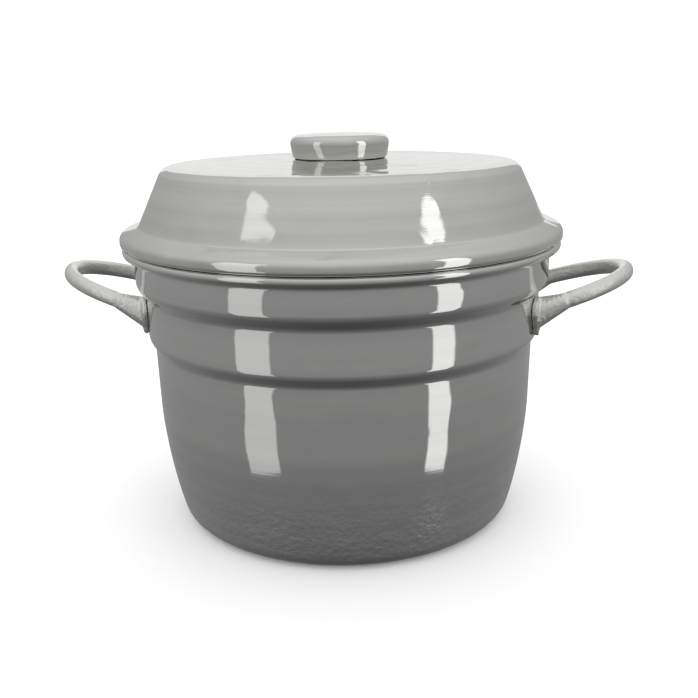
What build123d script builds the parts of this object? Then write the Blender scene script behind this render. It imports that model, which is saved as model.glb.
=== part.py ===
from build123d import *
from math import asin, atan2, cos, degrees, pi, radians, sin, sqrt, tan
import os

# A tall spun-aluminium canning pot, stepped in twice below its mouth, with two cast loop handles, a
# raised lid with a hollow knob, a jar rack on the floor and a steam tray on the upper inner ledge.
# The floor it stands on is the XY plane, the pot's axis is Z and the handles point along X.
# Millimetres. Radii and heights of sheet-metal parts are to the middle of the sheet.

# ---- Pot -----------------------------------------------------------------------------------------
sheet = 2.2                   # wall and floor thickness
base_flare = 12.8             # the lower wall flares out this far from the floor's plane
base_corner = 12.0            # bend between floor and wall
belly_lean = 1.7              # the upright wall leans out this far over the flare
belly_height = 47.0
belly_bend = 295.0            # one long bend, so the lower half swells gently
upper_radius = 140.9          # wall above the upper step
upper_step = 6.0              # this step narrows the wall down to where the handles sit
lower_step = 4.0              # and this one to the wall below
lower_step_height = 129.5
upper_step_height = 165.3
step_rise = 6.5               # height over which a step leans outward
step_bend = 7.0
rim_height = 189.6            # underside of the rolled rim
rim_turn = 4.5                # bend from the wall out to the rolled rim
rim_overhang = 5.3            # from the wall out to the middle of the rolled rim
rim_bead = 3.0                # radius of the rolled rim, over the sheet
curl_sweep = 285              # how far a rolled edge turns, in degrees

# ---- Lid -----------------------------------------------------------------------------------------
lid_sheet = 1.6
lid_bead = 2.7                # radius of the lid's rolled edge, over the sheet
lid_overhang = 1.3            # the lid's edge stands this far outside the pot's rim and centres on it
lid_skirt = 4.8               # upright band above the rolled edge
lid_shoulder_bend = 4.0
waist_inset = 12.5            # from the skirt in to the foot of the sloping side
waist_rise = 9.4              # from the middle of the rolled edge up to that foot
waist_bend = 2.5
side_inset = 17.5             # the sloping side leans in this far
side_rise = 37.3
crown_bend = 7.5
crown_rise = 2.7              # the crown climbs this far to the flat under the knob
crown_bend_inner = 300.0
knob_flat = 44.0              # radius of the flat that the knob stands on

# ---- Knob ----------------------------------------------------------------------------------------
knob_sheet = 1.6
knob_radius = 33.8
knob_foot_radius = 31.4
knob_height = 15.8            # outside height above the lid
knob_bend = 5.2
knob_foot_turn = 3.6          # the foot turns in under the knob
pillar_radius = 8.0
pillar_chamfer = 0.6
screw_radius = 3.0
screw_clearance = 0.05
screw_engagement = 9.0        # length of screw inside the pillar
screw_head_radius = 5.6
screw_head_height = 3.2
screw_head_rounding = 1.6
screw_slot_width = 1.4
screw_slot_depth = 1.5
washer_radius = 12.0
washer_thickness = 1.2
washer_clearance = 0.3        # washer and lid holes over the screw

# ---- Handles -------------------------------------------------------------------------------------
handle_half_width = 41.0      # centre of the casting to the middle of each arm
handle_reach = 62.0           # loop beyond its straight roots
handle_root = 6.0             # straight root of each arm, from the wall
arm_height = 11.0
arm_thickness = 9.6
flare_height = 22.0           # the arm swells to this size at the wall
flare_width = 15.0
flare_length = 21.0
flare_drop = 2.5              # and its root is this much lower
leaf_radius = 9.0             # round head of the leaf-shaped foot
leaf_tip_radius = 2.6
leaf_drop = 14.5              # from the head's centre down to the tip's centre
leaf_thickness = 3.6
leaf_edge = 2.2               # rounding of the foot's outer edge
seat_height = 151.2           # middle of the arms where they meet the wall
handle_tilt = 16.8            # the loops rise outward
handle_rivet_radius = 2.4
handle_rivet_head = 4.6
handle_rivet_rise = 3.0       # the upper rivet of a foot, over the seat height
handle_rivet_drop = 8.5       # the lower rivet, under it
handle_rivet_depth = 2.6      # blind depth in the casting
rivet_clearance = 0.05
rivet_dome = 1.3              # height of a domed head

# ---- Jar rack ------------------------------------------------------------------------------------
insert_sheet = 1.6            # rack and tray
rack_side_clearance = 5.5     # from the pot's base radius to the rack's rim
rack_rim_drop = 6.0
rack_rim_bend = 3.0
seat_gap = 0.3                # parts that only rest on each other
foot_height = 13.0
foot_radius = 7.0
foot_chamfer = 0.8
foot_inset = 20.0             # from the rack's rim to the feet
foot_rivet_radius = 2.0
foot_rivet_head = 3.6
foot_rivet_depth = 5.0
rack_hole = 6.0
rack_hole_pitch = 25.0
rack_hole_rings = 3

# ---- Steam tray ----------------------------------------------------------------------------------
tray_bead = 2.5
tray_clearance = 0.6          # round the tray's rolled edge
tray_depth = 12.0             # from the rolled edge down to the tray's floor
tray_side_lean = 9.0
tray_floor_bend = 4.0
tray_hole = 4.0
tray_hole_pitch = 16.0
tray_hole_rings = 6

# ---- Lifting bails -------------------------------------------------------------------------------
wire_radius = 1.9
bail_clearance = 0.06         # wire in its lug
bail_half_span = 36.0
bail_end = 26.6               # how near the middle the turned-in ends come
bail_end_bend = 4.0
bail_corner = 16.0
hinge_rise = 6.0              # hinge above the plate it stands on
lug_face = 28.6               # inner face of the lug's ear
lug_ear = 2.5
lug_half_width = 5.0
lug_thickness = 1.6
lug_length = 16.0
lug_rivet_inset = 10.0        # from the ear's outer face to the rivet
lug_rivet_radius = 1.6
lug_rivet_head = 3.0
rack_bail_height = 54.0
rack_bail_inset = 9.0         # hinge inside the rack's rim
rack_bail_lean = 98.0         # from lying inward, past upright, against the wall
tray_bail_height = 38.0
tray_bail_inset = 14.0        # hinge inside the edge of the tray's floor

# ---- Sizes that follow ---------------------------------------------------------------------------
middle_radius = upper_radius - upper_step                # wall between the steps
lower_radius = middle_radius - lower_step                # wall below the lower step
belly_radius = lower_radius - belly_lean                 # where the flare meets the upright wall
base_radius = belly_radius - base_flare                  # where the floor's plane meets the flare
rim_radius = upper_radius + rim_overhang                 # middle of the rolled rim
rim_middle = rim_height + rim_bead - sheet / 2
lid_edge_radius = rim_radius + lid_overhang              # middle of the lid's rolled edge
lid_edge_height = rim_middle + sqrt((rim_bead + lid_bead + seat_gap) ** 2 - lid_overhang ** 2)
lid_skirt_radius = lid_edge_radius + lid_bead - lid_sheet / 2
waist_radius = lid_skirt_radius - waist_inset
crown_radius = waist_radius - side_inset
crown_height = lid_edge_height + waist_rise + side_rise
lid_top = crown_height + crown_rise + lid_sheet / 2
lid_ceiling = lid_top - lid_sheet
wall_outside = middle_radius + sheet / 2                 # where the handles sit
wall_inside = middle_radius - sheet / 2
foot_angle = degrees(asin(handle_half_width / wall_outside))
chord = wall_outside * cos(radians(foot_angle))
step_lean = atan2(step_rise, upper_radius - middle_radius)
ledge_top = upper_step_height + step_rise / 2 + step_bend * tan((pi / 2 - step_lean) / 2)
tray_edge_radius = upper_radius - sheet / 2 - tray_clearance - tray_bead
tray_edge_height = ledge_top + seat_gap
tray_side_radius = tray_edge_radius - tray_bead + insert_sheet / 2
tray_floor_radius = tray_side_radius - tray_side_lean
tray_floor = tray_edge_height - tray_depth
rack_radius = base_radius - rack_side_clearance
foot_bottom = sheet + seat_gap
rack_level = foot_bottom + foot_height + insert_sheet / 2
rack_hinge_radius = rack_radius - rack_bail_inset
tray_hinge_radius = tray_floor_radius - tray_bail_inset
tray_bail_lean = -degrees(asin((hinge_rise - wire_radius - seat_gap) / tray_bail_height))

os.makedirs("parts", exist_ok=True)


def save(part, name):
    part.label = name
    export_step(part, f"parts/{name}.step")


# ---- Handle seats: where each foot sits on the wall, and its two rivets ------------------------------
def foot_plane(side, end, radius, height):
    """Plane facing straight out of the wall over one foot, with local y up."""
    angle = radians(end * foot_angle)
    out = Vector(side * cos(angle), sin(angle), 0)
    return Plane(origin=out * radius + Vector(0, 0, height), x_dir=Vector(-out.Y, out.X, 0), z_dir=out)


def rivet_planes(side, radius):
    """Planes facing out of the wall at the two rivets of both feet."""
    heights = (seat_height + handle_rivet_rise, seat_height - handle_rivet_drop)
    return [foot_plane(side, end, radius, height) for end in (-1, 1) for height in heights]


# ---- Pot shell: one spun sheet, rolled outward at the rim --------------------------------------------
with BuildPart() as pot_shell:
    with BuildSketch(Plane.XZ):
        with BuildLine():
            wall = FilletPolyline(
                (0, sheet / 2),
                (base_radius, sheet / 2),
                (belly_radius, belly_height),
                (lower_radius, lower_step_height - step_rise / 2),
                (middle_radius, lower_step_height + step_rise / 2),
                (middle_radius, upper_step_height - step_rise / 2),
                (upper_radius, upper_step_height + step_rise / 2),
                (upper_radius, rim_height),
                (rim_radius, rim_height),
                radius=[base_corner, belly_bend, step_bend, step_bend, step_bend, step_bend, rim_turn],
            )
            JernArc(wall @ 1, wall % 1, rim_bead - sheet / 2, curl_sweep)
        trace(line_width=sheet)
    revolve(axis=Axis.Z)
    for side in (-1, 1):
        with Locations(*rivet_planes(side, wall_outside)):
            Hole(handle_rivet_radius + rivet_clearance, depth=2 * sheet)
save(pot_shell.part, "pot_shell")


# ---- Handles: cast loops with leaf-shaped feet ---------------------------------------------------------
def cast_handle(side):
    """A loop handle on the +X (side 1) or -X (side -1) wall."""
    slope = radians(handle_tilt)
    outward = Vector(side * cos(slope), 0, sin(slope))
    loop_plane = Plane(
        origin=(side * chord, 0, seat_height), x_dir=outward, z_dir=(-side * sin(slope), 0, cos(slope))
    )
    with BuildPart() as handle:
        for end in (-1, 1):
            with BuildSketch(foot_plane(side, end, wall_outside + leaf_thickness, seat_height)):
                Circle(leaf_radius)
                with Locations((0, -leaf_drop)):
                    Circle(leaf_tip_radius)
                make_hull()
            extrude(amount=-leaf_thickness - sheet)
        fillet(handle.faces().group_by(lambda face: abs(face.center().X))[-1].edges(), leaf_edge)
        for end in (-1, 1):
            arm_line = end * handle_half_width
            root = loop_plane.from_local_coords(Vector(-sheet, arm_line, -flare_drop))
            neck = loop_plane.from_local_coords(Vector(flare_length, arm_line, 0))
            with BuildSketch(Plane(origin=root, x_dir=(0, 1, 0), z_dir=outward)):
                Ellipse(flare_width / 2, flare_height / 2)
            with BuildSketch(Plane(origin=neck, x_dir=(0, 1, 0), z_dir=outward)):
                Ellipse(arm_thickness / 2, arm_height / 2)
            loft()
        with BuildLine(loop_plane) as loop:
            start = Line((-sheet, -handle_half_width), (handle_root, -handle_half_width))
            bow = EllipticalCenterArc(
                (handle_root, 0), handle_reach, handle_half_width, start_angle=-90, arc_size=180
            )
            Line(bow @ 1, (-sheet, handle_half_width))
        with BuildSketch(Plane(origin=start @ 0, x_dir=(0, 1, 0), z_dir=start % 0)):
            Ellipse(arm_thickness / 2, arm_height / 2)
        sweep(path=loop.wire())
        Cylinder(middle_radius, 2 * rim_height, mode=Mode.SUBTRACT)
        add(pot_shell.part, mode=Mode.SUBTRACT)
        with Locations(*rivet_planes(side, wall_outside)):
            Hole(handle_rivet_radius + rivet_clearance, depth=handle_rivet_depth)
    return handle.part


# ---- Rivets: a shank on its blunt end, with a domed head on top ------------------------------------------
def domed_rivet(shank, head, length):
    with BuildPart() as rivet:
        with BuildSketch(Plane.XZ):
            with BuildLine():
                sides = Polyline(
                    (0, length + rivet_dome), (0, 0), (shank, 0), (shank, length), (head, length)
                )
                TangentArc(sides @ 0, sides @ 1, tangent=(1, 0))
            make_face()
        revolve(axis=Axis.Z)
    return rivet.part


def set_of_rivets(rivet, places):
    """One rivet at each place, with its head on the side that the place's z points to."""
    with BuildPart() as rivets:
        with Locations(*places):
            add(rivet)
    return rivets.part


wall_curve = handle_rivet_head**2 / (2 * wall_inside)     # the flat heads bear on their edges
handle_rivet = domed_rivet(
    handle_rivet_radius, handle_rivet_head, handle_rivet_depth + sheet + wall_curve
)
for name, side in (("left", -1), ("right", 1)):
    save(cast_handle(side), f"handle_{name}")
    blind_ends = rivet_planes(side, wall_outside + handle_rivet_depth - rivet_clearance)
    heads_inside = [Plane(origin=end.origin, x_dir=end.x_dir, z_dir=-end.z_dir) for end in blind_ends]
    save(set_of_rivets(handle_rivet, heads_inside), f"handle_rivets_{name}")


# ---- Lid: one spun sheet whose rolled edge rests on the pot's rim ------------------------------------------
with BuildPart() as lid_shell:
    with BuildSketch(Plane.XZ):
        with BuildLine():
            skin = FilletPolyline(
                (0, lid_top - lid_sheet / 2),
                (knob_flat, lid_top - lid_sheet / 2),
                (crown_radius, crown_height),
                (waist_radius, lid_edge_height + waist_rise),
                (lid_skirt_radius, lid_edge_height + lid_skirt),
                (lid_skirt_radius, lid_edge_height),
                radius=[crown_bend_inner, crown_bend, waist_bend, lid_shoulder_bend],
            )
            JernArc(skin @ 1, skin % 1, lid_bead - lid_sheet / 2, -curl_sweep)
        trace(line_width=lid_sheet)
    revolve(axis=Axis.Z)
    Hole(screw_radius + washer_clearance)
save(lid_shell.part, "lid_shell")


# ---- Knob: a spun cap over a threaded pillar, screwed on from under the lid ------------------------------
knob_top = lid_top + knob_height
with BuildPart() as lid_knob:
    with BuildSketch(Plane.XZ):
        with BuildLine():
            FilletPolyline(
                (0, knob_top - knob_sheet / 2),
                (knob_radius, knob_top - knob_sheet / 2),
                (knob_foot_radius, lid_top + knob_sheet / 2),
                (knob_foot_radius - knob_foot_turn, lid_top + knob_sheet / 2),
                radius=[knob_bend, knob_sheet],
            )
        trace(line_width=knob_sheet)
    revolve(axis=Axis.Z)
save(lid_knob.part, "lid_knob")

with BuildPart() as knob_pillar:
    with BuildSketch(Plane.XY.offset(lid_top)):
        Circle(pillar_radius)
        Circle(screw_radius + screw_clearance, mode=Mode.SUBTRACT)
    extrude(amount=knob_height - knob_sheet)
    chamfer(knob_pillar.edges().filter_by(GeomType.CIRCLE).group_by(SortBy.RADIUS)[-1], pillar_chamfer)
save(knob_pillar.part, "knob_pillar")

washer_bottom = lid_ceiling - washer_thickness
with BuildPart() as knob_washer:
    with BuildSketch(Plane.XY.offset(washer_bottom)):
        Circle(washer_radius)
        Circle(screw_radius + washer_clearance, mode=Mode.SUBTRACT)
    extrude(amount=washer_thickness)
save(knob_washer.part, "knob_washer")

with BuildPart() as knob_screw:
    with BuildSketch(Plane.XY.offset(washer_bottom - screw_head_height)):
        Circle(screw_head_radius)
    extrude(amount=screw_head_height)
    fillet(knob_screw.edges().sort_by(Axis.Z)[0], screw_head_rounding)
    with BuildSketch(Plane.XY.offset(washer_bottom - screw_head_height)):
        Rectangle(2 * screw_head_radius, screw_slot_width)
    extrude(amount=screw_slot_depth, mode=Mode.SUBTRACT)
    with BuildSketch(Plane.XY.offset(washer_bottom)):
        Circle(screw_radius)
    extrude(amount=washer_thickness + lid_sheet + screw_engagement)
save(knob_screw.part, "knob_screw")


# ---- Lifting bails and their lugs, used on the rack and on the tray -----------------------------------------
def wire_bail(side, hinge_radius, hinge_height, lean, height):
    """A wire bail hinged along Y; a lean of 0 lies level and inward, 90 stands upright."""
    away = Vector(-side * cos(radians(lean)), 0, sin(radians(lean)))
    along = Vector(0, 1, 0)
    hinge = Plane(origin=(side * hinge_radius, 0, hinge_height), x_dir=along, z_dir=along.cross(away))
    with BuildPart() as bail:
        with BuildLine(hinge) as bent_wire:
            FilletPolyline(
                (-bail_end, 0),
                (-bail_half_span, 0),
                (-bail_half_span, height),
                (bail_half_span, height),
                (bail_half_span, 0),
                (bail_end, 0),
                radius=[bail_end_bend, bail_corner, bail_corner, bail_end_bend],
            )
        with BuildSketch(Plane(origin=hinge.from_local_coords(Vector(-bail_end, 0, 0)), z_dir=-along)):
            Circle(wire_radius)
        sweep(path=bent_wire.wire())
    return bail.part


def lug_rivet_places(hinge_radius, height):
    """The four rivets that hold two pairs of lugs, at the height of their blunt ends."""
    offset_from_middle = lug_face + lug_ear - lug_rivet_inset
    return [(side * hinge_radius, end * offset_from_middle, height) for side in (-1, 1) for end in (-1, 1)]


def bail_lugs(hinge_radius, level):
    """Two pairs of bent sheet lugs standing on a plate whose top is at this level."""
    with BuildPart() as lugs:
        for side in (-1, 1):
            for end in (-1, 1):
                outer_face = end * (lug_face + lug_ear)
                with BuildSketch(Plane.XY.offset(level)):
                    with Locations((side * hinge_radius, outer_face - end * lug_length / 2)):
                        Rectangle(2 * lug_half_width, lug_length)
                extrude(amount=lug_thickness)
                ear = Plane(
                    origin=(side * hinge_radius, outer_face, level), x_dir=(-end, 0, 0), z_dir=(0, end, 0)
                )
                with BuildSketch(ear):
                    with Locations((0, hinge_rise / 2)):
                        Rectangle(2 * lug_half_width, hinge_rise)
                    with Locations((0, hinge_rise)):
                        Circle(lug_half_width)
                        Circle(wire_radius + bail_clearance, mode=Mode.SUBTRACT)
                extrude(amount=-lug_ear)
        with Locations(*lug_rivet_places(hinge_radius, level)):
            Hole(lug_rivet_radius + rivet_clearance, depth=2 * lug_thickness)
    return lugs.part


def save_bails(name, hinge_radius, level, lean, height):
    """Lugs, their rivets and two bails for the plate whose top is at this level."""
    grip = insert_sheet + lug_thickness
    rivet = domed_rivet(lug_rivet_radius, lug_rivet_head, grip)
    places = lug_rivet_places(hinge_radius, level - insert_sheet)
    save(bail_lugs(hinge_radius, level), f"{name}_bail_lugs")
    save(set_of_rivets(rivet, places), f"{name}_lug_rivets")
    for side_name, side in (("left", -1), ("right", 1)):
        bail = wire_bail(side, hinge_radius, level + hinge_rise, lean, height)
        save(bail, f"{name}_bail_{side_name}")


def punch_rings(rings, pitch, hole):
    """Rings of holes round the middle of the plate in hand, six more in each ring."""
    Hole(hole)
    for ring in range(1, rings + 1):
        with PolarLocations(ring * pitch, 6 * ring):
            Hole(hole)


# ---- Jar rack: a punched plate with a turned-down rim, on four turned feet ---------------------------------
rack_top = rack_level + insert_sheet / 2


def foot_places(height=0):
    """The four feet, set diagonally between the bails."""
    places = [Vector(rack_radius - foot_inset, 0, height).rotate(Axis.Z, turn) for turn in (45, 135, 225, 315)]
    return Locations(*places)


with BuildPart() as jar_rack:
    with BuildSketch(Plane.XZ):
        with BuildLine():
            FilletPolyline(
                (0, rack_level),
                (rack_radius, rack_level),
                (rack_radius, rack_level - rack_rim_drop),
                radius=rack_rim_bend,
            )
        trace(line_width=insert_sheet)
    revolve(axis=Axis.Z)
    punch_rings(rack_hole_rings, rack_hole_pitch, rack_hole)
    with foot_places(rack_level):
        Hole(foot_rivet_radius + rivet_clearance)
    with Locations(*lug_rivet_places(rack_hinge_radius, rack_level)):
        Hole(lug_rivet_radius + rivet_clearance)
save(jar_rack.part, "jar_rack")

with BuildPart() as rack_feet:
    with BuildSketch(Plane.XY.offset(foot_bottom)):
        with foot_places():
            Circle(foot_radius)
    extrude(amount=foot_height)
    chamfer(rack_feet.edges().group_by(Axis.Z)[0], foot_chamfer)
    with BuildSketch(Plane.XY.offset(foot_bottom + foot_height)):
        with foot_places():
            Circle(foot_rivet_radius + rivet_clearance)
    extrude(amount=-foot_rivet_depth, mode=Mode.SUBTRACT)
save(rack_feet.part, "rack_feet")

foot_rivet_length = insert_sheet + foot_rivet_depth - rivet_clearance
foot_rivet = domed_rivet(foot_rivet_radius, foot_rivet_head, foot_rivet_length)
with BuildPart() as rack_foot_rivets:
    with foot_places(rack_top - foot_rivet_length):
        add(foot_rivet)
save(rack_foot_rivets.part, "rack_foot_rivets")
save_bails("rack", rack_hinge_radius, rack_top, rack_bail_lean, rack_bail_height)


# ---- Steam tray: a shallow punched pan whose rolled edge rests on the upper ledge --------------------------
with BuildPart() as steam_tray:
    with BuildSketch(Plane.XZ):
        with BuildLine():
            pan = FilletPolyline(
                (0, tray_floor),
                (tray_floor_radius, tray_floor),
                (tray_side_radius, tray_edge_height - tray_bead),
                (tray_side_radius, tray_edge_height),
                radius=[tray_floor_bend, tray_floor_bend],
            )
            JernArc(pan @ 1, pan % 1, tray_bead - insert_sheet / 2, -curl_sweep)
        trace(line_width=insert_sheet)
    revolve(axis=Axis.Z)
    punch_rings(tray_hole_rings, tray_hole_pitch, tray_hole)
    with Locations(*lug_rivet_places(tray_hinge_radius, tray_floor)):
        Hole(lug_rivet_radius + rivet_clearance)
save(steam_tray.part, "steam_tray")
save_bails("tray", tray_hinge_radius, tray_floor + insert_sheet / 2, tray_bail_lean, tray_bail_height)
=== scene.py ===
import math

import bmesh
import bpy
from mathutils import Matrix, Vector


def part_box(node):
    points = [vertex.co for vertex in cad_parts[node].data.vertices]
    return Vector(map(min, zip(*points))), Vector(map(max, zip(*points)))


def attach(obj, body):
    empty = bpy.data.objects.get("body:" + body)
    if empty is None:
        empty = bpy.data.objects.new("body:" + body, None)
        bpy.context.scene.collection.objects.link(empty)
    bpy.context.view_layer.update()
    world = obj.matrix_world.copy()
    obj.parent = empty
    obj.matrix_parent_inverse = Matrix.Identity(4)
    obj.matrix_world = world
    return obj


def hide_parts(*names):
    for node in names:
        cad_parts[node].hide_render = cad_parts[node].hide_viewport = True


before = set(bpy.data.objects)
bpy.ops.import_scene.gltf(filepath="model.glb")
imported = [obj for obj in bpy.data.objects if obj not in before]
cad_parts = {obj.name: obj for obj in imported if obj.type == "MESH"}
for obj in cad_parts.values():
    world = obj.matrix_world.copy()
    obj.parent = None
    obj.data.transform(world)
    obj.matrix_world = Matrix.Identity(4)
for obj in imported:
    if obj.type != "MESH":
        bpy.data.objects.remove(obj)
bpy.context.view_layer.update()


# ---- Stage ---------------------------------------------------------------------------------------
# A pale studio floor, a surround that is plain grey from dark below to light above, and three softboxes.
# The floor isn't mirrored in the metal, and the softboxes reach below it so that the walls mirror them.

def srgb(code, alpha=1.0):
    """A '#rrggbb' colour in the linear values that Blender's shaders take."""
    parts = [int(code[i:i + 2], 16) / 255 for i in (1, 3, 5)]
    linear = [c / 12.92 if c <= 0.04045 else ((c + 0.055) / 1.055) ** 2.4 for c in parts]
    return (*linear, alpha)


def node(tree, kind, links=(), **settings):
    """Adds a node, sets its properties or input values by name, and links (output -> input) pairs."""
    n = tree.nodes.new(kind)
    for key, value in settings.items():
        if hasattr(n, key):
            setattr(n, key, value)
        else:
            name = int(key[1:]) if key[0] == "i" and key[1:].isdigit() else key.replace("_", " ")
            n.inputs[name].default_value = value
    for source, target in links:
        tree.links.new(source, n.inputs[target])
    return n


scene = bpy.context.scene
scene.view_settings.view_transform = "Standard"

camera_turn = 5.6                                      # the pot is seen from a little to its right

world = bpy.data.worlds.new("studio_surround")
world.use_nodes = True
scene.world = world
sky = world.node_tree
sky.nodes.clear()
sky_place = node(sky, "ShaderNodeTexCoord")
sky_axes = node(sky, "ShaderNodeSeparateXYZ", [(sky_place.outputs["Generated"], "Vector")])
sky_height = node(sky, "ShaderNodeMapRange", [(sky_axes.outputs["Z"], "Value")],
                  From_Min=-1.0, From_Max=1.0, To_Min=0.0, To_Max=1.0)
sky_shade = node(sky, "ShaderNodeValToRGB", [(sky_height.outputs["Result"], "Fac")])
sky_shade.color_ramp.elements[0].color = srgb("#505050")
sky_shade.color_ramp.elements[1].color = srgb("#e0e0e0")
seen = node(sky, "ShaderNodeLightPath")
mirrored = node(sky, "ShaderNodeBackground", [(sky_shade.outputs["Color"], "Color")], Strength=1.0)
backdrop = node(sky, "ShaderNodeBackground", Color=srgb("#fbfbfb"), Strength=1.35)
surround = node(sky, "ShaderNodeMixShader", [
    (seen.outputs["Is Glossy Ray"], "Fac"),
    (backdrop.outputs["Background"], 1),
    (mirrored.outputs["Background"], 2),
])
node(sky, "ShaderNodeOutputWorld", [(surround.outputs["Shader"], "Surface")])

bm = bmesh.new()
bmesh.ops.create_grid(bm, x_segments=1, y_segments=1, size=30)
floor_mesh = bpy.data.meshes.new("studio_floor")
bm.to_mesh(floor_mesh)
bm.free()
floor = bpy.data.objects.new("studio_floor", floor_mesh)
scene.collection.objects.link(floor)
floor_paint = bpy.data.materials.new("matt white paint")
floor_paint.use_nodes = True
floor_paint.node_tree.nodes["Principled BSDF"].inputs["Base Color"].default_value = srgb("#fbfbfb")
floor_paint.node_tree.nodes["Principled BSDF"].inputs["Roughness"].default_value = 0.9
floor_paint.node_tree.nodes["Principled BSDF"].inputs["Specular IOR Level"].default_value = 0.0
floor_mesh.materials.append(floor_paint)
floor.visible_glossy = False

# azimuth round the pot (0 in front, 90 on the right), distance, middle height, width, height, power
for name, azimuth, distance, middle, width, height, power in (
    ("softbox_left", -50, 1.7, 0.25, 0.60, 2.4, 1.8),
    ("softbox_right", 55, 1.7, 0.25, 0.40, 2.4, 2.4),
    ("softbox_back", 180, 1.9, 0.70, 1.60, 1.4, 3.0),
):
    lamp = bpy.data.lights.new(name, "AREA")
    lamp.shape = "RECTANGLE"
    lamp.size, lamp.size_y = width, height
    lamp.energy = power
    box = bpy.data.objects.new(name, lamp)
    box.matrix_world = (
        Matrix.Rotation(math.radians(azimuth + camera_turn), 4, "Z")
        @ Matrix.Translation((0.0, -distance, middle))
        @ Matrix.Rotation(math.pi / 2, 4, "X")
    )
    box.visible_camera = False
    scene.collection.objects.link(box)

# The lens stands close and a little above the lid, so the rings open into wide ellipses.
lens = bpy.data.cameras.new("camera")
lens.sensor_width = 36.0
lens.lens = 46.04
camera = bpy.data.objects.new("camera", lens)
pitch_down, yaw_right, roll = math.radians(15.96), math.radians(0.34), math.radians(-1.10)
camera.matrix_world = (
    Matrix.Rotation(math.radians(camera_turn), 4, "Z")
    @ Matrix.Translation((0.0, -0.620, 0.2893))
    @ Matrix.Rotation(-yaw_right, 4, "Z")
    @ Matrix.Rotation(math.pi / 2 - pitch_down, 4, "X")
    @ Matrix.Rotation(roll, 4, "Z")
)
scene.collection.objects.link(camera)
scene.camera = camera


# ---- Pot shell -----------------------------------------------------------------------------------
# The pot is one disc of aluminium sheet, spun over a former: floor, swelling lower wall, two steps and
# a rim rolled outward. It was polished on the lathe, so fine rings run round it and the shine streaks
# up and down across them.

MM = 0.001
_, pot_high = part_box("pot_shell")
sheet = 2.2 * MM
rim_bead = 3.0 * MM
rim_radius = pot_high[0] - rim_bead                    # middle of the rolled rim
rim_middle = pot_high[2] - rim_bead
pot_outline = (                                        # radius, height, rounding at that corner, segments
    (0.0, 1.1, 0, 0),
    (116.4, 1.1, 12.0, 12),
    (129.2, 47.0, 295.0, 24),
    (130.9, 126.25, 7.0, 6),
    (134.9, 132.75, 7.0, 6),
    (134.9, 162.05, 7.0, 6),
    (140.9, 168.55, 7.0, 6),
    (140.9, 189.6, 4.5, 6),
    (146.2, 189.6, 0, 0),
)


def spun_sheet(name, outline, thickness, curl=None, steps=240, stretch=6 * MM):
    """A spun sheet: an outline of corners rounded to their bends, rolled at its end, turned round Z."""
    bm = bmesh.new()
    corners = [Vector((r * MM, 0, z * MM)) for r, z, _, _ in outline]
    path = [bm.verts.new(corner) for corner in corners]
    for a, b in zip(path, path[1:]):
        bm.edges.new((a, b))
    for i in range(len(outline) - 2, 0, -1):
        bend, segments = outline[i][2] * MM, outline[i][3]
        turn = math.pi - (corners[i - 1] - corners[i]).angle(corners[i + 1] - corners[i])
        reach = bend * math.tan(turn / 2)
        bmesh.ops.bevel(bm, geom=[path[i]], offset=reach, offset_type="OFFSET", segments=segments,
                        profile=0.5, affect="VERTICES", material=-1)
    for edge in [e for e in bm.edges if e.calc_length() > 2 * stretch]:
        bmesh.ops.subdivide_edges(bm, edges=[edge], cuts=int(edge.calc_length() / stretch))
    if curl:
        end = min(bm.verts, key=lambda v: (v.co - corners[-1]).length)
        centre, turn = curl
        bmesh.ops.spin(bm, geom=[end], cent=centre, axis=(0, 1, 0), dvec=(0, 0, 0),
                       angle=math.radians(turn), steps=18, use_merge=False)
    bmesh.ops.spin(bm, geom=bm.verts[:] + bm.edges[:], cent=(0, 0, 0), axis=(0, 0, 1), dvec=(0, 0, 0),
                   angle=2 * math.pi, steps=steps, use_merge=True)
    bmesh.ops.remove_doubles(bm, verts=bm.verts, dist=1e-5)
    bmesh.ops.recalc_face_normals(bm, faces=bm.faces)
    mesh = bpy.data.meshes.new(name)
    bm.to_mesh(mesh)
    bm.free()
    mesh.shade_smooth()
    obj = bpy.data.objects.new(name, mesh)
    scene.collection.objects.link(obj)
    wall = obj.modifiers.new("sheet", "SOLIDIFY")
    wall.thickness = thickness
    wall.offset = 0
    wall.use_even_offset = True
    return obj


pot = spun_sheet("spun_pot", pot_outline, sheet, curl=((rim_radius, 0, rim_middle), -285))
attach(pot, "pot")
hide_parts("pot_shell")


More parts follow.
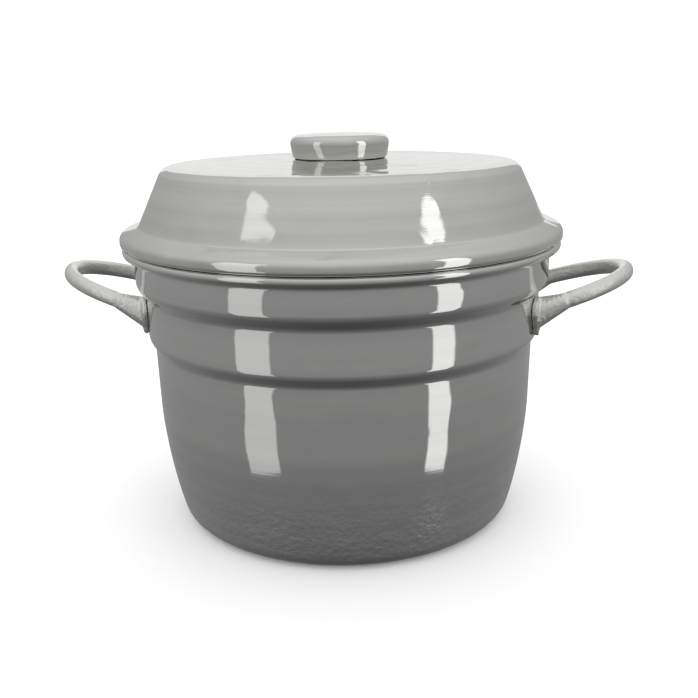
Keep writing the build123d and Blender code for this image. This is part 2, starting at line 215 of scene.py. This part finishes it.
def spun_metal(name, colour, roughness, line_depth, ripple, dents, dull_below=None):
    """Lathe-polished aluminium: rings round the axis in the finish, and a shine drawn out across them."""
    mat = bpy.data.materials.new(name)
    mat.use_nodes = True
    tree = mat.node_tree
    shader = tree.nodes["Principled BSDF"]
    shader.inputs["Metallic"].default_value = 1.0
    shader.inputs["Anisotropic"].default_value = 0.85
    shader.inputs["Anisotropic Rotation"].default_value = 0.25
    place = node(tree, "ShaderNodeTexCoord")
    axes = node(tree, "ShaderNodeSeparateXYZ", [(place.outputs["Object"], "Vector")])
    flat = node(tree, "ShaderNodeCombineXYZ", [(axes.outputs["X"], "X"), (axes.outputs["Y"], "Y")])
    radius = node(tree, "ShaderNodeVectorMath", [(flat.outputs[0], 0)], operation="LENGTH")
    rings = node(tree, "ShaderNodeCombineXYZ", [(radius.outputs["Value"], "X"), (axes.outputs["Z"], "Y")])
    # Real polishing lines are about 0.1 mm apart, too fine to show, so they are drawn 1.4 mm apart.
    lines = node(tree, "ShaderNodeTexNoise", [(rings.outputs[0], "Vector")], Scale=1 / (1.4 * MM), Detail=4.0,
                 Roughness=0.65)
    bands = node(tree, "ShaderNodeTexNoise", [(rings.outputs[0], "Vector")], Scale=1 / (9 * MM), Detail=4.0)
    worn = node(tree, "ShaderNodeTexNoise", [(place.outputs["Object"], "Vector")],
                Scale=1 / (60 * MM), Detail=6.0)
    waves = node(tree, "ShaderNodeTexNoise", [(place.outputs["Object"], "Vector")],
                 Scale=1 / (110 * MM), Detail=1.0)
    knocks = node(tree, "ShaderNodeTexNoise", [(place.outputs["Object"], "Vector")],
                  Scale=1 / (38 * MM), Detail=1.5)
    tangent = node(tree, "ShaderNodeTangent", direction_type="RADIAL", axis="Z")
    tree.links.new(tangent.outputs[0], shader.inputs["Tangent"])
    shade = node(tree, "ShaderNodeMix", [(bands.outputs["Fac"], "Factor")], data_type="RGBA")
    shade.inputs[6].default_value = srgb(colour[0])
    shade.inputs[7].default_value = srgb(colour[1])
    tree.links.new(shade.outputs[2], shader.inputs["Base Color"])
    rough = node(tree, "ShaderNodeMapRange", [(worn.outputs["Fac"], "Value")], From_Min=0.35, From_Max=0.7,
                 To_Min=roughness[0], To_Max=roughness[1])
    finish = rough.outputs["Result"]
    if dull_below:
        dull = node(tree, "ShaderNodeMapRange", [(axes.outputs["Z"], "Value")],
                    From_Min=dull_below[0], From_Max=dull_below[1], To_Min=1.0, To_Max=0.0)
        added = node(tree, "ShaderNodeMath", [(dull.outputs["Result"], 0), (finish, 2)],
                     operation="MULTIPLY_ADD", i1=0.16)
        finish = added.outputs[0]
        crackle = node(tree, "ShaderNodeTexNoise", [(place.outputs["Object"], "Vector")],
                       Scale=1 / (4 * MM), Detail=5.0)
        grain = node(tree, "ShaderNodeMath", [(crackle.outputs["Fac"], 0), (dull.outputs["Result"], 1)],
                     operation="MULTIPLY")
    tree.links.new(finish, shader.inputs["Roughness"])
    bump = node(tree, "ShaderNodeBump", [(lines.outputs["Fac"], "Height")], Strength=line_depth, Distance=0.0001)
    bump = node(tree, "ShaderNodeBump", [(waves.outputs["Fac"], "Height"), (bump.outputs[0], "Normal")],
                Strength=ripple, Distance=0.002)
    hollows = node(tree, "ShaderNodeMapRange", [(knocks.outputs["Fac"], "Value")],
                   interpolation_type="SMOOTHSTEP", From_Min=0.5, From_Max=0.8)
    bump = node(tree, "ShaderNodeBump", [(hollows.outputs["Result"], "Height"), (bump.outputs[0], "Normal")],
                Strength=dents, Distance=0.003)
    if dull_below:
        bump = node(tree, "ShaderNodeBump", [(grain.outputs[0], "Height"), (bump.outputs[0], "Normal")],
                    Strength=0.7, Distance=0.0008)
    tree.links.new(bump.outputs[0], shader.inputs["Normal"])
    return mat


pot_metal = spun_metal("spun and polished aluminium", ("#cccdcc", "#e2e2e0"), (0.03, 0.075), 0.14, 0.12,
                       dents=0.08, dull_below=(0.024, 0.060))
pot.data.materials.append(pot_metal)


# ---- Lid -----------------------------------------------------------------------------------------
# The lid is a second spun sheet: a flat crown, a leaning side, a sloping flange and an edge rolled inward
# under it, which rests on the pot's rim.

lid_low, lid_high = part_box("lid_shell")
lid_sheet = 1.6 * MM
lid_bead = 2.7 * MM
lid_edge_radius = lid_high[0] - lid_bead
lid_edge_height = lid_low[2] + lid_bead
edge_mm = lid_edge_height / MM
lid_outline = (
    (0.0, edge_mm + 49.4, 0, 0),
    (44.0, edge_mm + 49.4, 300.0, 6),
    (119.4, edge_mm + 46.7, 7.5, 10),
    (136.9, edge_mm + 9.4, 2.5, 5),
    (149.4, edge_mm + 4.8, 4.0, 6),
    (149.4, edge_mm, 0, 0),
)
lid = spun_sheet("spun_lid", lid_outline, lid_sheet, curl=((lid_edge_radius, 0, lid_edge_height), 285))
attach(lid, "lid")
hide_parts("lid_shell")
lid_metal = spun_metal("spun aluminium lid", ("#c6c7c4", "#f0f0ec"), (0.035, 0.09), 0.22, 0.14, dents=0.28)
lid.data.materials.append(lid_metal)


# ---- Knob ----------------------------------------------------------------------------------------
# The knob is a small hollow cap of aluminium sheet, spun and polished like the lid, with its foot turned
# in. A screw from under the lid holds it.

knob_low, knob_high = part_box("lid_knob")
knob_sheet = 1.6 * MM
knob_foot = knob_low[2] / MM
knob_top = knob_high[2] / MM
knob_outline = (
    (0.0, knob_top - 0.8, 0, 0),
    (33.8, knob_top - 0.8, 5.2, 10),
    (31.4, knob_foot + 0.8, 1.6, 4),
    (27.8, knob_foot + 0.8, 0, 0),
)
knob = spun_sheet("spun_knob", knob_outline, knob_sheet, steps=160, stretch=3 * MM)
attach(knob, "lid")
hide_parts("lid_knob")
knob.data.materials.append(lid_metal)


# ---- Knob pillar, screw and washer ---------------------------------------------------------------
# A turned aluminium pillar fills the knob and takes a stainless screw, which comes up through a washer
# under the lid.

def machined_metal(name, colour, roughness, mark, depth, stretch=(1, 1, 1)):
    """Plain metal with tool or grain marks this many mm apart, drawn out by the stretch, and uneven shine."""
    # Real marks are 0.05 to 0.2 mm apart, too fine to show, so they are drawn 1 to 2 mm apart.
    mat = bpy.data.materials.new(name)
    mat.use_nodes = True
    tree = mat.node_tree
    shader = tree.nodes["Principled BSDF"]
    shader.inputs["Metallic"].default_value = 1.0
    place = node(tree, "ShaderNodeTexCoord")
    drawn = node(tree, "ShaderNodeVectorMath", [(place.outputs["Object"], 0)], operation="MULTIPLY")
    drawn.inputs[1].default_value = stretch
    marks = node(tree, "ShaderNodeTexNoise", [(drawn.outputs[0], "Vector")], Scale=1 / (mark * MM), Detail=5.0,
                 Roughness=0.6)
    worn = node(tree, "ShaderNodeTexNoise", [(place.outputs["Object"], "Vector")], Scale=1 / (22 * MM), Detail=4.0)
    shade = node(tree, "ShaderNodeMix", [(worn.outputs["Fac"], "Factor")], data_type="RGBA")
    shade.inputs[6].default_value = srgb(colour[0])
    shade.inputs[7].default_value = srgb(colour[1])
    tree.links.new(shade.outputs[2], shader.inputs["Base Color"])
    both = node(tree, "ShaderNodeMath", [(marks.outputs["Fac"], 0), (worn.outputs["Fac"], 1)], operation="MULTIPLY")
    rough = node(tree, "ShaderNodeMapRange", [(both.outputs[0], "Value")], From_Min=0.15, From_Max=0.45,
                 To_Min=roughness[0], To_Max=roughness[1])
    tree.links.new(rough.outputs["Result"], shader.inputs["Roughness"])
    bump = node(tree, "ShaderNodeBump", [(marks.outputs["Fac"], "Height")], Strength=depth, Distance=0.0002)
    tree.links.new(bump.outputs[0], shader.inputs["Normal"])
    return mat


def paint_node(name, mat):
    """Gives a CAD node this material on every slot."""
    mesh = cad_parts[name].data
    if not mesh.materials:
        mesh.materials.append(mat)
    for i in range(len(mesh.materials)):
        mesh.materials[i] = mat


turned = machined_metal("turned aluminium bar", ("#b9bab9", "#d2d2d0"), (0.18, 0.32), 1.1, 0.5, (0.15, 0.15, 3.0))
stainless = machined_metal("stainless steel fastener", ("#aeaba6", "#c6c3be"), (0.14, 0.26), 1.4, 0.25)
paint_node("knob_pillar", turned)
paint_node("knob_screw", stainless)
paint_node("knob_washer", stainless)


# ---- Handles -------------------------------------------------------------------------------------
# Two loops cast in aluminium, with leaf-shaped feet that lie on the wall. They came out of sand moulds and
# were tumbled, so they are soft-edged and satin, and a little brighter where hands rub them.

def casting(name, cad_node, cell, rounds):
    """The CAD solid's form, rebuilt in small cells and relaxed until its edges are soft like a casting's."""
    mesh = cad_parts[cad_node].data.copy()
    mesh.materials.clear()
    bm = bmesh.new()
    bm.from_mesh(mesh)
    bmesh.ops.remove_doubles(bm, verts=bm.verts, dist=1e-6)
    bm.to_mesh(mesh)
    bm.free()
    obj = bpy.data.objects.new(name, mesh)
    scene.collection.objects.link(obj)
    cells = obj.modifiers.new("cells", "REMESH")
    cells.mode = "VOXEL"
    cells.voxel_size = cell
    cells.use_smooth_shade = True
    relax = obj.modifiers.new("relax", "SMOOTH")
    relax.factor = 0.5
    relax.iterations = rounds
    return obj


cast_metal = bpy.data.materials.new("tumbled cast aluminium")
cast_metal.use_nodes = True
cast_tree = cast_metal.node_tree
cast_shader = cast_tree.nodes["Principled BSDF"]
cast_shader.inputs["Metallic"].default_value = 1.0
cast_place = node(cast_tree, "ShaderNodeTexCoord")
cast_grain = node(cast_tree, "ShaderNodeTexNoise", [(cast_place.outputs["Object"], "Vector")],
                  Scale=1 / (0.7 * MM), Detail=4.0)
cast_skin = node(cast_tree, "ShaderNodeTexNoise", [(cast_place.outputs["Object"], "Vector")],
                 Scale=1 / (2.4 * MM), Detail=3.0)
cast_worn = node(cast_tree, "ShaderNodeTexNoise", [(cast_place.outputs["Object"], "Vector")],
                 Scale=1 / (26 * MM), Detail=4.0)
cast_shade = node(cast_tree, "ShaderNodeMix", [(cast_worn.outputs["Fac"], "Factor")], data_type="RGBA")
cast_shade.inputs[6].default_value = srgb("#e2e2de")
cast_shade.inputs[7].default_value = srgb("#f4f4f0")
cast_tree.links.new(cast_shade.outputs[2], cast_shader.inputs["Base Color"])
cast_rough = node(cast_tree, "ShaderNodeMapRange", [(cast_worn.outputs["Fac"], "Value")],
                  From_Min=0.3, From_Max=0.7, To_Min=0.42, To_Max=0.26)
cast_tree.links.new(cast_rough.outputs["Result"], cast_shader.inputs["Roughness"])
cast_bump = node(cast_tree, "ShaderNodeBump", [(cast_grain.outputs["Fac"], "Height")], Strength=0.45, Distance=0.0002)
cast_bump = node(cast_tree, "ShaderNodeBump", [(cast_skin.outputs["Fac"], "Height"), (cast_bump.outputs[0], "Normal")],
                 Strength=0.5, Distance=0.0012)
cast_tree.links.new(cast_bump.outputs[0], cast_shader.inputs["Normal"])

for side in ("left", "right"):
    handle = casting(f"cast_handle_{side}", f"handle_{side}", 0.75 * MM, 12)
    handle.data.materials.append(cast_metal)
    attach(handle, "pot")
    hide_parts(f"handle_{side}")


# ---- Handle rivets -------------------------------------------------------------------------------
# Domed aluminium rivets hold each foot from inside the pot. Their heads were set with a cup tool and
# have dulled with washing.

rivet_metal = machined_metal("set aluminium rivet", ("#b5b6b4", "#cccdca"), (0.24, 0.4), 2.0, 0.4)
for name in ("handle_rivets_left", "handle_rivets_right", "rack_foot_rivets", "rack_lug_rivets", "tray_lug_rivets"):
    paint_node(name, rivet_metal)


# ---- Jar rack and steam tray ---------------------------------------------------------------------
# Both are pressed from mill-finish aluminium sheet and punched with rings of holes. The sheet keeps the
# straight grain of the rolling mill.

mill_sheet = machined_metal("mill finish aluminium sheet", ("#bcbdbb", "#d3d4d1"), (0.2, 0.34), 1.1, 0.35,
                            (0.06, 1.6, 1.6))
for name in ("jar_rack", "steam_tray", "rack_bail_lugs", "tray_bail_lugs"):
    paint_node(name, mill_sheet)
paint_node("rack_feet", turned)


# ---- Lifting bails -------------------------------------------------------------------------------
# Bright stainless wire, drawn to size and bent cold, so fine draw marks run along it.

wire_metal = machined_metal("drawn stainless wire", ("#b3b0ab", "#cbc8c3"), (0.12, 0.22), 1.7, 0.2, (1.0, 0.3, 1.0))
for name in ("rack_bail_left", "rack_bail_right", "tray_bail_left", "tray_bail_right"):
    paint_node(name, wire_metal)
